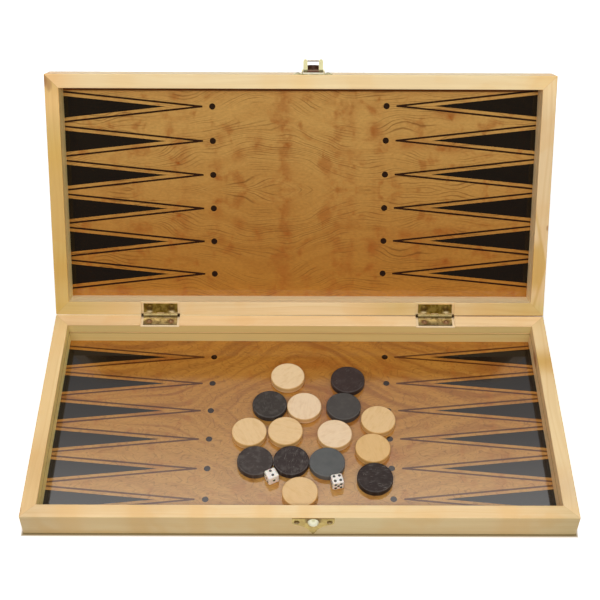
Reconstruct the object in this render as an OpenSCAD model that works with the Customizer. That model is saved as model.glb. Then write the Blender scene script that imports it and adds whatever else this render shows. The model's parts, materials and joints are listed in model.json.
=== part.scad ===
// Folding wooden games box: two mitred trays on brass hinges, with a
// backgammon board inside, a chequered board outside, checkers and dice.
// Millimetres. The origin is the centre of the lower tray's underside,
// +X is to the right, +Y towards the hinges and +Z up.

/* [Box] */
// Width of the box along the hinge line
box_w = 400; // [396:1:410]
// Depth of one tray from its front face to its back face
box_d = 195; // [193:1:200]
// Height of one tray
tray_h = 22; // [20:0.5:26]
// Thickness of the frame rails, seen from above
rail_t = 11; // [10.5:0.5:13]
// Thickness of the floor panels
panel_t = 2.6; // [2:0.2:4]
// Angle of the lid from closed, at rest
lid_open = 121; // [0:1:180]

/* [Board] */
// Spacing of the six points in each quarter
point_pitch = 27.6; // [26:0.1:27.8]
// Width of a solid point at the wall
point_w = 17.4; // [10:0.1:18]
// Length of a solid point
point_len = 82; // [60:0.5:90]
// Width of the outline around a point, at the wall
outline_w = 25.4; // [22:0.1:26]
// Length of an outline up to where its two sides would meet
outline_len = 118; // [112:0.2:120]
// Distance from the wall to an outline's blunt end
outline_end = 111.6; // [100:0.2:111.8]
// Thickness of an outline
outline_t = 1.5; // [0.6:0.1:1.6]
// Distance of the dots from the side walls
dot_inset = 119.4; // [118.5:0.1:125]
// Diameter of the dots
dot_d = 5; // [3:0.1:6]
// Shift of each print along the panel and across it, and its turn in degrees
lower_print_shift = [-0.2, 0.2, 0.24];
lid_print_shift = [-1, -1.9, -0.34];
// Size of one square of the outside board
square = 45; // [40:0.5:45.5]

/* [Hinges] */
// Places of the two hinges along X
hinge_x = [-114.2, 110.8];
// Length of a hinge
hinge_len = 27.6; // [24:0.2:30]
// Distance from the pin's axis to a leaf's free edge
leaf_w = 9.5; // [9:0.1:10.5]
// Radius of a knuckle
knuckle_r = 1.6; // [1.5:0.05:1.8]
// Number of knuckles
knuckles = 5; // [3:2:7]

/* [Clasp] */
// Place of the clasp along X
clasp_x = 9.5; // [-20:0.5:20]
// Angle of the hasp from closed, at rest
hasp_open = 90; // [0:1:130]
// Width of the clasp plates
clasp_w = 30.4; // [28:0.2:34]

/* [Contents] */
// Diameter of a checker
checker_d = 27; // [25:0.1:27]
// Thickness of a checker
checker_t = 5.2; // [4:0.1:9]
// Edge length of a die
die_s = 8.8; // [8:0.1:10]
// Centres of the pale checkers
light_at = [[-9.6, 45], [3.5, 14.6], [-38.9, -10.2], [-11.1, -9.4],
            [26.8, -12.1], [60.8, 1.7], [55.6, -25.2], [0.1, -65.5]];
// Centres of the dark checkers
dark_at = [[38.3, 41.8], [-23.6, 16.5], [34.3, 14.8], [-33.8, -37.4],
           [-6.5, -37.1], [20.6, -38.6], [56.2, -52.5]];
// Centre and turn of each die
die_at = [[-21, -51.3, 27], [27.8, -55.9, 12]];

/* [Hidden] */

// Small overshoot of a cutting solid
cut = 1;
// Gap between the two rims when the lid is closed
rim_gap = 0.1;
// The hinge axis lies between the rims, this far behind the back faces
axis_out = 0.05;
axis_y = box_d / 2 + axis_out;
axis_z = tray_h + rim_gap / 2;

// Frame rails: radii of the softened edges and outer corners, how far the
// panel's rebate stops short of the outer face, and the shallow line that
// runs round the inner walls
rail_soft = 0.6;
corner_soft = 0.8;
rail_lip = 5;
line_w = 1;
line_deep = 0.5;
line_z = panel_t + (tray_h - panel_t) * 0.5;

// Board print: a layer this thick lies flush in the panel
print_t = 0.3;
square_gap = 0.5;
square_rows = 4;
square_cols = 8;
inner_x = box_w / 2 - rail_t;

// Hinges
pin_r = 0.7;
pin_fit = 0.05;
pin_head_r = 1.3;
pin_head_l = 1.7;
knuckle_gap = 0.15;
leaf_t = 0.8;
leaf_clear = 0.35;
mortise_side = 2;
hinge_screw_x = 8.9;
hinge_screw_y = 6;
knuckle_l = (hinge_len - (knuckles - 1) * knuckle_gap) / knuckles;

// Screws: dome, shank and the cross in the head
head_r = 2.2;
hinge_dome = 0.45;
clasp_dome = 1;
shank_r = 1.1;
shank_l = 8;
shank_fit = 0.05;
cross_l = 2.6;
cross_w = 0.5;
cross_deep = 0.3;

// Clasp: distances out from a rail's face and up from the rim
plate_t = 0.6;
plate_low = 0.5;
plate_tip = 20.4;
clasp_screw_x = 11.8;
clasp_screw_z = 5;
lobe_r = clasp_w / 2 - clasp_screw_x;
nose_axis_in = 0.1;
nose_r = 4.1;
nose_wall = 0.8;
nose_top = 0.5;
nose_low = 5.6;
nose_round = 0.5;
pivot_out = 3;
pivot_up = 0.9;
pivot_r = 1.3;
hasp_pin_r = 0.5;
hasp_sheet = 1.2;
hasp_w = 15.4;
hasp_window = 8.8;
hasp_end = 9;
hood_r = 5;
hood_wall = 0.7;
hood_from = 0.4;
hood_to = 4.4;
bar_at = 7.65;
bar_r = 0.6;
ear_gap = 0.2;
ear_t = 0.9;

// Contents
edge_r = 0.8;
ring_r = 12;
ring_tube_r = 0.5;
ring_deep = 0.12;
pip_r = 1;
pip_step = 2.05;
pip_deep = 0.45;
die_ball = 0.74;

PINE = "#e8c58a";
VENEER = "#b98a4a";
BLACK = "#241c18";
BRASS = "#b8a257";
STEEL = "#9a9a98";

// Places: the lid's parts are drawn closed and then swung open
module in_lid() {
    translate([0, axis_y, axis_z])
        rotate([-lid_open, 0, 0])
            translate([0, -axis_y, -axis_z])
                children();
}

// Turns a lower-tray shape over, so that it faces the lower tray's rim
module as_lid() {
    translate([0, 0, 2 * axis_z])
        mirror([0, 0, 1])
            children();
}

// The hasp's pivot lies in front of the lid's front rail, just above the rim
module in_hasp() {
    in_lid()
        translate([clasp_x, -box_d / 2 - pivot_out, tray_h + rim_gap + pivot_up])
            rotate([-hasp_open, 0, 0])
                children();
}

module along_x(l, r) {
    rotate([0, 90, 0])
        cylinder(h = l, r = r, center = true, $fn = 48);
}

// Section of a frame rail: outer face on x = 0, underside on y = 0, three
// softened edges, the panel's rebate and the line round the inner walls. The
// rim's outer edge stays sharp where the two trays meet at the hinges
module rail_profile(sharp) {
    difference() {
        union() {
            if (sharp)
                translate([0, tray_h - 2 * rail_soft])
                    square(2 * rail_soft);
            translate([rail_soft, 0])
                square([rail_t - 2 * rail_soft, tray_h]);
            translate([0, rail_soft])
                square([rail_t, tray_h - 2 * rail_soft]);
            for (x = [rail_soft, rail_t - rail_soft], z = [rail_soft, tray_h - rail_soft])
                translate([x, z])
                    circle(r = rail_soft, $fn = 32);
        }
        translate([rail_lip, -cut])
            square([rail_t, panel_t + cut]);
        translate([rail_t - line_deep, line_z])
            square([rail_t, line_w]);
    }
}

// Plan of a rail with mitred ends and softened outer corners
module rail_plan(l) {
    difference() {
        polygon([[-l / 2 - cut, -cut], [l / 2 + cut, -cut],
                 [l / 2 - 2 * rail_t, 2 * rail_t], [-l / 2 + 2 * rail_t, 2 * rail_t]]);
        for (s = [0, 1])
            mirror([s, 0])
                translate([-l / 2 + corner_soft, corner_soft])
                    difference() {
                        translate([-2 * corner_soft, -2 * corner_soft])
                            square(2 * corner_soft);
                        circle(r = corner_soft, $fn = 48);
                    }
    }
}

// Frame rail, outer face on y = 0 and underside on z = 0
module rail(l, sharp = false) {
    intersection() {
        rotate([90, 0, 90])
            linear_extrude(l, center = true)
                rail_profile(sharp);
        translate([0, 0, -cut])
            linear_extrude(tray_h + 2 * cut)
                rail_plan(l);
    }
}

module side_rail(side) {
    translate([side * box_w / 2, 0, 0])
        rotate([0, 0, side * 90])
            rail(box_d);
}

// Front rail with the two pilot holes of a clasp plate
module front_rail() {
    difference() {
        translate([0, -box_d / 2, 0])
            rail(box_w);
        for (s = [-1, 1])
            translate([clasp_x + s * clasp_screw_x, -box_d / 2 - cut, tray_h - clasp_screw_z])
                rotate([-90, 0, 0])
                    cylinder(h = shank_l + 2 * cut, r = shank_r + shank_fit, $fn = 32);
    }
}

// Back rail with a mortise, a groove for the knuckles and pilot holes at each hinge
module back_rail() {
    difference() {
        translate([0, box_d / 2, 0])
            rotate([0, 0, 180])
                rail(box_w, true);
        for (x = hinge_x)
            translate([x, axis_y, axis_z]) {
                translate([-hinge_len / 2 - mortise_side, -rail_t - axis_out - cut, -knuckle_r - 0.05])
                    cube([hinge_len + 2 * mortise_side, rail_t + 2 * cut, knuckle_r + cut]);
                along_x(hinge_len + 2 * mortise_side, knuckle_r + 0.3);
                for (s = [-1, 1])
                    translate([s * hinge_screw_x, -hinge_screw_y, -knuckle_r - shank_l - cut])
                        cylinder(h = shank_l + 2 * cut, r = shank_r + shank_fit, $fn = 32);
            }
    }
}

// Centres of the six points along Y
function point_y(i) = (i - 2.5) * point_pitch;

// Point as a flat triangle with its base at x = 0
module wedge(w, l) {
    polygon([[0, -w / 2], [l, 0], [0, w / 2]]);
}

// Copies for both ends of the board and all six points, base at the wall.
// $more is what the print's shift adds to a length measured from that wall
module board_places(shift) {
    for (side = [-1, 1], i = [0:5])
        translate([side * inner_x, point_y(i) + shift[1] + side * inner_x * tan(shift[2])])
            rotate([0, 0, shift[2] + (side < 0 ? 0 : 180)]) {
                $more = -side * shift[0];
                children();
            }
}

module point_shapes(shift) {
    board_places(shift)
        wedge(point_w, point_len + $more);
}

// The outline is a V of two strokes, cut off at the wall and blunt at the end
module outline_shapes(shift) {
    slope = atan2(outline_w / 2, outline_len);
    inner_w = outline_w - 2 * outline_t / cos(slope);
    inner_l = outline_len - outline_t / sin(slope);
    board_places(shift)
        intersection() {
            difference() {
                wedge(outline_w, outline_len + $more);
                wedge(inner_w, inner_l + $more);
            }
            translate([0, -outline_w])
                square([outline_end + $more, 2 * outline_w]);
        }
}

module dot_shapes(shift) {
    board_places(shift)
        translate([dot_inset + $more, 0])
            circle(d = dot_d, $fn = 32);
}

// Dark squares of half a chequered board. The two halves start on
// different colours, so that the pattern carries on across the hinges
module square_shapes(start) {
    for (c = [0:square_cols - 1])
        for (r = [0:square_rows - 1])
            if ((c + r) % 2 == start)
                translate([(c - square_cols / 2 + 0.5) * square, (r - square_rows / 2 + 0.5) * square])
                    square(square - square_gap, center = true);
}

module inside_print() {
    translate([0, 0, panel_t - print_t])
        linear_extrude(print_t)
            children();
}

module outside_print() {
    linear_extrude(print_t)
        children();
}

// Floor panel with shallow pockets for the printed layers
module panel(shift, start) {
    difference() {
        translate([-box_w / 2 + rail_lip, -box_d / 2 + rail_lip, 0])
            cube([box_w - 2 * rail_lip, box_d - 2 * rail_lip, panel_t]);
        translate([0, 0, panel_t - print_t])
            linear_extrude(print_t + cut) {
                point_shapes(shift);
                outline_shapes(shift);
                dot_shapes(shift);
            }
        translate([0, 0, -cut])
            linear_extrude(print_t + cut)
                square_shapes(start);
    }
}

// Screw with its head's base on z = 0, the shank below
module screw(dome) {
    ball_r = (head_r * head_r + dome * dome) / (2 * dome);
    difference() {
        union() {
            intersection() {
                translate([0, 0, dome - ball_r])
                    sphere(r = ball_r, $fn = 64);
                cylinder(h = dome + cut, r = head_r, $fn = 48);
            }
            translate([0, 0, -shank_l])
                cylinder(h = shank_l + dome / 4, r = shank_r, $fn = 32);
        }
        for (a = [0, 90])
            rotate([0, 0, 40 + a])
                translate([-cross_l / 2, -cross_w / 2, dome - cross_deep])
                    cube([cross_l, cross_w, 2 * dome]);
    }
}

// Hinge leaf under its axis, reaching towards -Y. own is 0 for the leaf
// with the end knuckles and 1 for the other
module leaf(own) {
    difference() {
        union() {
            translate([-hinge_len / 2, -leaf_w, -knuckle_r])
                cube([hinge_len, leaf_w - knuckle_r - leaf_clear, leaf_t]);
            for (k = [own:2:knuckles - 1])
                translate([-hinge_len / 2 + k * (knuckle_l + knuckle_gap), 0, 0]) {
                    translate([0, -knuckle_r - leaf_clear - cut, -knuckle_r])
                        cube([knuckle_l, knuckle_r + leaf_clear + cut, leaf_t]);
                    rotate([0, 90, 0])
                        cylinder(h = knuckle_l, r = knuckle_r, $fn = 48);
                }
        }
        along_x(hinge_len + 2 * cut, pin_r + pin_fit);
        for (s = [-1, 1])
            translate([s * hinge_screw_x, -hinge_screw_y, -knuckle_r - cut])
                cylinder(h = leaf_t + 2 * cut, r = shank_r + shank_fit, $fn = 32);
    }
}

module at_hinge(i) {
    translate([hinge_x[i], axis_y, axis_z])
        children();
}

module hinge_pin(i) {
    color(STEEL)
        at_hinge(i) {
            along_x(hinge_len + 1, pin_r);
            for (s = [-1, 1])
                translate([s * (hinge_len / 2 + 0.1 + pin_head_l / 2), 0, 0])
                    along_x(pin_head_l, pin_head_r);
        }
}

module hinge_screws() {
    for (i = [0, 1])
        at_hinge(i)
            for (s = [-1, 1])
                translate([s * hinge_screw_x, -hinge_screw_y, leaf_t - knuckle_r])
                    screw(hinge_dome);
}

// Clasp plate in the XZ plane, its straight edge up and its point down,
// the rail's face on y = 0 and the rim on z = 0
module shield() {
    difference() {
        rotate([90, 0, 0])
            linear_extrude(plate_t)
                for (s = [0, 1])
                    mirror([s, 0])
                        polygon(concat([[0, -plate_tip], [0, -plate_low], [clasp_w / 2, -plate_low]],
                                       [for (a = [0:10:100]) [clasp_screw_x + lobe_r * cos(a),
                                                              -clasp_screw_z - lobe_r * sin(a)]],
                                       [[6.8, -10.6], [3, -14.6], [2, -plate_tip + 3]]));
        for (s = [-1, 1])
            translate([s * clasp_screw_x, cut, -clasp_screw_z])
                rotate([90, 0, 0])
                    cylinder(h = plate_t + 2 * cut, r = shank_r + shank_fit, $fn = 32);
    }
}

// Half of an upright round shape with a domed top, down to z = 0
module dome_profile(r, h) {
    square([r, h - r]);
    translate([0, h - r])
        intersection() {
            circle(r = r, $fn = 96);
            square(r);
        }
}

// Hollow half dome pressed out of the catch plate, open underneath, where
// the hasp's bar snaps in below its lip
module nose() {
    h = nose_low - nose_top;
    difference() {
        translate([0, nose_axis_in, -nose_low])
            rotate_extrude($fn = 96)
                difference() {
                    dome_profile(nose_r, h);
                    translate([0, -cut])
                        dome_profile(nose_r - nose_wall, h - nose_wall + cut);
                    difference() {
                        translate([nose_r - nose_round, -cut])
                            square([2 * nose_round, nose_round + cut]);
                        translate([nose_r - nose_round, nose_round])
                            circle(r = nose_round, $fn = 48);
                    }
                }
        translate([-nose_r - cut, -plate_t, -nose_low - cut])
            cube([2 * (nose_r + cut), 2 * nose_r, nose_low + 2 * cut]);
    }
}

module at_front() {
    translate([clasp_x, -box_d / 2, tray_h])
        children();
}

module clasp_screws() {
    at_front()
        for (s = [-1, 1])
            translate([s * clasp_screw_x, -plate_t, -clasp_screw_z])
                rotate([90, 0, 0])
                    screw(clasp_dome);
}

// Latch plate, drawn as if on the lower tray, with ears for the hasp's pin
module latch_body() {
    ear_x = hasp_w / 2 + ear_gap;
    difference() {
        union() {
            shield();
            for (s = [-1, 1])
                translate([s * (ear_x + ear_t / 2), 0, -pivot_up]) {
                    translate([-ear_t / 2, -pivot_out, -pivot_r])
                        cube([ear_t, pivot_out, pivot_r + pivot_up]);
                    translate([0, -pivot_out, 0])
                        along_x(ear_t, pivot_r);
                }
        }
        translate([0, -pivot_out, -pivot_up])
            along_x(hasp_w * 2, hasp_pin_r + pin_fit);
    }
}

// Hasp hanging from its pivot at the origin: two cheeks, a hood that
// arches over the nose, and the place of the cross bar below the hood
module hasp_body() {
    difference() {
        union() {
            along_x(hasp_w, pivot_r);
            for (s = [-1, 1])
                translate([s * (hasp_w + hasp_window) / 4, pivot_r - hasp_sheet / 2, 0])
                    cheek();
            hood();
        }
        along_x(hasp_w + 2 * cut, hasp_pin_r + pin_fit);
    }
}

module cheek() {
    w = (hasp_w - hasp_window) / 2;
    rotate([90, 0, 0])
        linear_extrude(hasp_sheet, center = true) {
            translate([-w / 2, -hasp_end + w / 2])
                square([w, hasp_end - w / 2]);
            translate([0, -hasp_end + w / 2])
                circle(d = w, $fn = 48);
        }
}

module hood() {
    sheet_in = pivot_r;
    difference() {
        translate([0, pivot_out + nose_axis_in, -hood_to])
            difference() {
                cylinder(h = hood_to - hood_from, r = hood_r, $fn = 96);
                translate([0, 0, -cut])
                    cylinder(h = hood_to - hood_from - hood_wall + cut, r = hood_r - hood_wall, $fn = 96);
            }
        translate([-2 * hood_r, sheet_in, -hood_to - cut])
            cube([4 * hood_r, 4 * hood_r, hood_to + 2 * cut]);
    }
}

// Checker lying on the lower panel, turned from a round bar
module checker(at) {
    r = checker_d / 2;
    translate([at[0], at[1], panel_t])
        difference() {
            rotate_extrude($fn = 96) {
                square([r - edge_r, checker_t]);
                translate([0, edge_r])
                    square([r, checker_t - 2 * edge_r]);
                for (z = [edge_r, checker_t - edge_r])
                    translate([r - edge_r, z])
                        circle(r = edge_r, $fn = 32);
            }
            for (z = [-ring_tube_r + ring_deep, checker_t + ring_tube_r - ring_deep])
                translate([0, 0, z])
                    rotate_extrude($fn = 96)
                        translate([ring_r, 0])
                            circle(r = ring_tube_r, $fn = 32);
        }
}

// Places of the pips for each value, in steps from the centre of a face
function pips(n) =
    n == 1 ? [[0, 0]] :
    n == 2 ? [[0, -1], [0, 1]] :
    n == 3 ? [[-1, -1], [0, 0], [1, 1]] :
    n == 4 ? [[-1, -1], [-1, 1], [1, -1], [1, 1]] :
    n == 5 ? [[-1, -1], [-1, 1], [0, 0], [1, -1], [1, 1]] :
    [[-1, -1], [-1, 0], [-1, 1], [1, -1], [1, 0], [1, 1]];

module face_pips(n) {
    for (p = pips(n))
        translate([p[0] * pip_step, p[1] * pip_step, die_s / 2 + pip_r - pip_deep])
            sphere(r = pip_r, $fn = 32);
}

// Die with the value top upwards and front towards -Y. Opposite faces
// add up to seven, and side is the value towards +X
module die(at, top, front, side) {
    translate([at[0], at[1], panel_t + die_s / 2])
        rotate([0, 0, at[2]])
            difference() {
                intersection() {
                    cube(die_s, center = true);
                    sphere(r = die_s * die_ball, $fn = 96);
                }
                face_pips(top);
                rotate([180, 0, 0]) face_pips(7 - top);
                rotate([90, 0, 0]) face_pips(front);
                rotate([-90, 0, 0]) face_pips(7 - front);
                rotate([0, 90, 0]) face_pips(side);
                rotate([0, -90, 0]) face_pips(7 - side);
            }
}

// Lower tray
module lower_front_rail() { color(PINE) front_rail(); }
module lower_back_rail() { color(PINE) back_rail(); }
module lower_left_rail() { color(PINE) side_rail(-1); }
module lower_right_rail() { color(PINE) side_rail(1); }
module lower_panel() { color(VENEER) panel(lower_print_shift, 0); }
module lower_points() { color(BLACK) inside_print() point_shapes(lower_print_shift); }
module lower_point_outlines() { color(BLACK) inside_print() outline_shapes(lower_print_shift); }
module lower_point_dots() { color(BLACK) inside_print() dot_shapes(lower_print_shift); }
module lower_squares() { color(BLACK) outside_print() square_shapes(0); }
module catch_plate() { color(BRASS) at_front() { shield(); nose(); } }
module catch_screws() { color(BRASS) clasp_screws(); }

// Lid tray
module lid_front_rail() { color(PINE) in_lid() as_lid() front_rail(); }
module lid_back_rail() { color(PINE) in_lid() as_lid() back_rail(); }
module lid_left_rail() { color(PINE) in_lid() as_lid() side_rail(-1); }
module lid_right_rail() { color(PINE) in_lid() as_lid() side_rail(1); }
module lid_panel() { color(VENEER) in_lid() as_lid() panel(lid_print_shift, 1); }
module lid_points() { color(BLACK) in_lid() as_lid() inside_print() point_shapes(lid_print_shift); }
module lid_point_outlines() { color(BLACK) in_lid() as_lid() inside_print() outline_shapes(lid_print_shift); }
module lid_point_dots() { color(BLACK) in_lid() as_lid() inside_print() dot_shapes(lid_print_shift); }
module lid_squares() { color(BLACK) in_lid() as_lid() outside_print() square_shapes(1); }
module latch_plate() { color(BRASS) in_lid() as_lid() at_front() latch_body(); }
module latch_screws() { color(BRASS) in_lid() as_lid() clasp_screws(); }

// Hinges
module left_hinge_lower_leaf() { color(BRASS) at_hinge(0) leaf(0); }
module left_hinge_lid_leaf() { color(BRASS) in_lid() as_lid() at_hinge(0) leaf(1); }
module left_hinge_pin() { hinge_pin(0); }
module right_hinge_lower_leaf() { color(BRASS) at_hinge(1) leaf(0); }
module right_hinge_lid_leaf() { color(BRASS) in_lid() as_lid() at_hinge(1) leaf(1); }
module right_hinge_pin() { hinge_pin(1); }
module hinge_screws_lower() { color(BRASS) hinge_screws(); }
module hinge_screws_lid() { color(BRASS) in_lid() as_lid() hinge_screws(); }

// Hasp
module hasp() { color(BRASS) in_hasp() hasp_body(); }
module hasp_bar() {
    color(STEEL)
        in_hasp()
            translate([0, pivot_r - hasp_sheet / 2, -bar_at])
                along_x(hasp_window, bar_r);
}
module hasp_pin() {
    color(STEEL)
        in_hasp()
            along_x(hasp_w + 2 * (ear_gap + ear_t) + 0.6, hasp_pin_r);
}

// Contents
module light_checker(i) { color(PINE) checker(light_at[i - 1]); }
module dark_checker(i) { color(BLACK) checker(dark_at[i - 1]); }
module die_1() { color("#eee9dc") die(die_at[0], 2, 1, 4); }
module die_2() { color("#eee9dc") die(die_at[1], 4, 5, 1); }

lower_front_rail();
lower_back_rail();
lower_left_rail();
lower_right_rail();
lower_panel();
lower_points();
lower_point_outlines();
lower_point_dots();
lower_squares();
lid_front_rail();
lid_back_rail();
lid_left_rail();
lid_right_rail();
lid_panel();
lid_points();
lid_point_outlines();
lid_point_dots();
lid_squares();
left_hinge_lower_leaf();
left_hinge_lid_leaf();
left_hinge_pin();
right_hinge_lower_leaf();
right_hinge_lid_leaf();
right_hinge_pin();
hinge_screws_lower();
hinge_screws_lid();
catch_plate();
catch_screws();
latch_plate();
latch_screws();
hasp();
hasp_bar();
hasp_pin();
for (i = [1:len(light_at)])
    light_checker(i);
for (i = [1:len(dark_at)])
    dark_checker(i);
die_1();
die_2();
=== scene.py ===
"""Looks of the folding wooden games box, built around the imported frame.

Everything is in metres and in the frame's axes: +X to the right, +Y towards
the hinges, +Z up, the origin at the centre of the lower tray's underside.
Patterns are worked out in millimetres on a closed tray that lies on its
underside, so the lid's patterns are drawn as if it were the lower tray.
In the functions that draw a pattern, s is the surface it is drawn on.
"""
import json
import math

import bmesh
import bpy
from mathutils import Matrix, Vector


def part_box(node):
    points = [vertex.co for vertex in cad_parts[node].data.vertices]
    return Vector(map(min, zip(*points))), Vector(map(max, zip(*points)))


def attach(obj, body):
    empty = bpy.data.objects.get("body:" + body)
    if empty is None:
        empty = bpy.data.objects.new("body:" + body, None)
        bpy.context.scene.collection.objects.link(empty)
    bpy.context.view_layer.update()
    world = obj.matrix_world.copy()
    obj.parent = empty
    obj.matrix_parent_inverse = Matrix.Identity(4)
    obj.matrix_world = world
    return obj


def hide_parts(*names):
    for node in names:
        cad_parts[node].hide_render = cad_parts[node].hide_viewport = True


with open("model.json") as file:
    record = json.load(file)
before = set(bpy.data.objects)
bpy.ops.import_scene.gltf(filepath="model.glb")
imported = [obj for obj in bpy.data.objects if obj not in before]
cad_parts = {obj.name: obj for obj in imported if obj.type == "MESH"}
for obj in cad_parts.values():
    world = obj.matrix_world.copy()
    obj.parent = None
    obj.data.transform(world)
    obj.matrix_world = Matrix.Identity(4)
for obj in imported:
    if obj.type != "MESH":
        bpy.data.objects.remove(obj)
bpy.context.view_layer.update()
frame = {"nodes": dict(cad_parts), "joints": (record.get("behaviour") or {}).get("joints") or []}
nodes = frame["nodes"]
joints = {joint["name"]: joint for joint in frame["joints"]}

MM = 0.001
PER_METRE = 1 / MM
HINGE_AXIS = Vector(joints["lid_hinge"]["pos_m"])
LID_OPEN = math.radians(-joints["lid_hinge"]["range_deg"][0])
HASP_PIVOT = Vector(joints["hasp_swing"]["pos_m"])

# Camera, fitted to the box's corners in the photograph
PHOTO_SIZE = 600
FOCAL_PX = 1213.4
SENSOR_MM = 36
CAMERA_AT = Vector((-0.00394, -0.57563, 0.75623))
CAMERA_DOWN = math.radians(46.751)
CAMERA_TURN = math.radians(-0.337)
CAMERA_ROLL = math.radians(0.437)

# Measures of a tray in millimetres, from the frame
tray_low, tray_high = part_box("lower_left_rail")
RIM_X = -tray_low.x / MM
RIM_Y = -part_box("lower_front_rail")[0].y / MM
RIM_Z = tray_high.z / MM
RAIL_T = (tray_high.x - tray_low.x) / MM


def span_x(name):
    """Middle and half width of a piece along X in millimetres."""
    low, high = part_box(name)
    return (low.x + high.x) / 2 / MM, (high.x - low.x) / 2 / MM


def srgb(red, green, blue):
    """Linear colour with alpha from 0-255 screen values."""
    def linear(value):
        value /= 255
        return value / 12.92 if value <= 0.04045 else ((value + 0.055) / 1.055) ** 2.4
    return (linear(red), linear(green), linear(blue), 1.0)


class Value:
    """A number in a node tree, so that a pattern reads as a formula."""

    def __init__(self, graph, socket):
        self.graph = graph
        self.socket = socket

    def __add__(self, other):
        return self.graph.math("ADD", self, other)

    __radd__ = __add__

    def __sub__(self, other):
        return self.graph.math("SUBTRACT", self, other)

    def __rsub__(self, other):
        return self.graph.math("SUBTRACT", other, self)

    def __mul__(self, other):
        return self.graph.math("MULTIPLY", self, other)

    __rmul__ = __mul__

    def __truediv__(self, other):
        return self.graph.math("DIVIDE", self, other)

    def __abs__(self):
        return self.graph.math("ABSOLUTE", self)


class Graph:
    """The node tree of a material or world, with short calls for its nodes."""

    def __init__(self, owner):
        owner.use_nodes = True
        self.tree = owner.node_tree
        self.tree.nodes.clear()

    def put(self, socket, value):
        if isinstance(value, Value):
            value = value.socket
        if isinstance(value, bpy.types.NodeSocket):
            self.tree.links.new(value, socket)
        else:
            socket.default_value = value

    def node(self, kind, inputs=None, **settings):
        made = self.tree.nodes.new("ShaderNode" + kind)
        for name, value in settings.items():
            setattr(made, name, value)
        for name, value in (inputs or {}).items():
            self.put(made.inputs[name], value)
        return made

    def math(self, operation, *values, clamp=False):
        made = self.node("Math", dict(enumerate(values)), operation=operation, use_clamp=clamp)
        return Value(self, made.outputs[0])

    def clamp(self, value):
        return self.math("ADD", value, 0, clamp=True)

    def smooth(self, value, low, high):
        """0 below low, 1 above high and smooth between; high may be the lower one."""
        if low > high:
            return 1 - self.smooth(value, high, low)
        made = self.node("MapRange", {"Value": value, "From Min": low, "From Max": high},
                         interpolation_type="SMOOTHSTEP")
        return Value(self, made.outputs[0])

    def hump(self, value, centre, width):
        """1 at the centre, falling off smoothly over about the width on each side."""
        offset = (value - centre) / width
        return self.math("POWER", math.e, offset * offset * -1)

    def split(self, vector):
        made = self.node("SeparateXYZ", {"Vector": vector})
        return [Value(self, output) for output in made.outputs]

    def join(self, x, y, z):
        return self.node("CombineXYZ", {"X": x, "Y": y, "Z": z}).outputs[0]

    def noise(self, place, size, detail=2.0, distortion=0.0):
        """Cloudy noise around 0.5; size is the length of its features along each axis."""
        steps = [value / length for value, length in zip(place, size)]
        made = self.node("TexNoise", {"Vector": self.join(*steps), "Scale": 1.0, "Detail": detail,
                                      "Distortion": distortion})
        return Value(self, made.outputs[0])

    def length(self, across, up):
        """Length of an offset with these two parts."""
        return self.math("SQRT", across * across + up * up)

    def larger(self, first, second):
        return self.math("MAXIMUM", first, second)

    def mix(self, share, first, second):
        """The first colour where share is 0 and the second where it is 1."""
        made = self.node("Mix", {0: share, 6: first, 7: second}, data_type="RGBA")
        return made.outputs[2]

    def scaled(self, colour, value):
        if isinstance(colour, tuple):
            colour = colour[:3]
        made = self.node("VectorMath", {0: colour, "Scale": value}, operation="SCALE")
        return made.outputs[0]

    def tinted(self, colour, tint):
        return self.node("VectorMath", {0: colour, 1: tint}, operation="MULTIPLY").outputs[0]


class Surface(Graph):
    """A material with one glossy shader, read in the object's coordinates."""

    def __init__(self, name):
        self.material = bpy.data.materials.new(name)
        super().__init__(self.material)
        self.shader = self.node("BsdfPrincipled")
        self.node("OutputMaterial", {"Surface": self.shader.outputs[0]})
        self.coords = self.node("TexCoord").outputs["Object"]

    def finish(self, colour, roughness, metallic=0.0, ior=1.5, height=None, depth=0.1):
        """Sets the shader; height is a relief from 0 to 1 and depth its size in millimetres."""
        self.put(self.shader.inputs["Base Color"], colour)
        self.put(self.shader.inputs["Roughness"], roughness)
        self.put(self.shader.inputs["Metallic"], metallic)
        self.put(self.shader.inputs["IOR"], ior)
        if height is not None:
            relief = self.node("Bump", {"Height": height, "Distance": depth * MM, "Strength": 1.0})
            self.put(self.shader.inputs["Normal"], relief.outputs[0])
        return self.material

    def place(self):
        """x, y and z of the object's own coordinates in millimetres."""
        return [value * PER_METRE for value in self.split(self.coords)]

    def turned_place(self, axis, angle):
        """x, y and z in metres, after a turn about an axis along X."""
        turned = self.node("VectorRotate", {"Vector": self.coords, "Center": axis, "Angle": angle},
                           rotation_type="X_AXIS")
        return self.split(turned.outputs[0])

    def tray_place(self, lid):
        """x, y and height on a closed tray in millimetres."""
        if not lid:
            return self.place()
        x, y, z = self.turned_place(HINGE_AXIS, LID_OPEN)
        return x * PER_METRE, y * PER_METRE, (2 * HINGE_AXIS.z - z) * PER_METRE


def paint(material, *names):
    """Gives CAD nodes a material."""
    for name in names:
        for slot in nodes[name].material_slots:
            slot.material = material


# Rails

PINE_FRESH = srgb(250, 226, 186)
PINE_KNOT = srgb(156, 92, 36)
# painted shade at the lower tray's foot
PINE_FOOT_SHADE = srgb(110, 94, 54)
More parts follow.
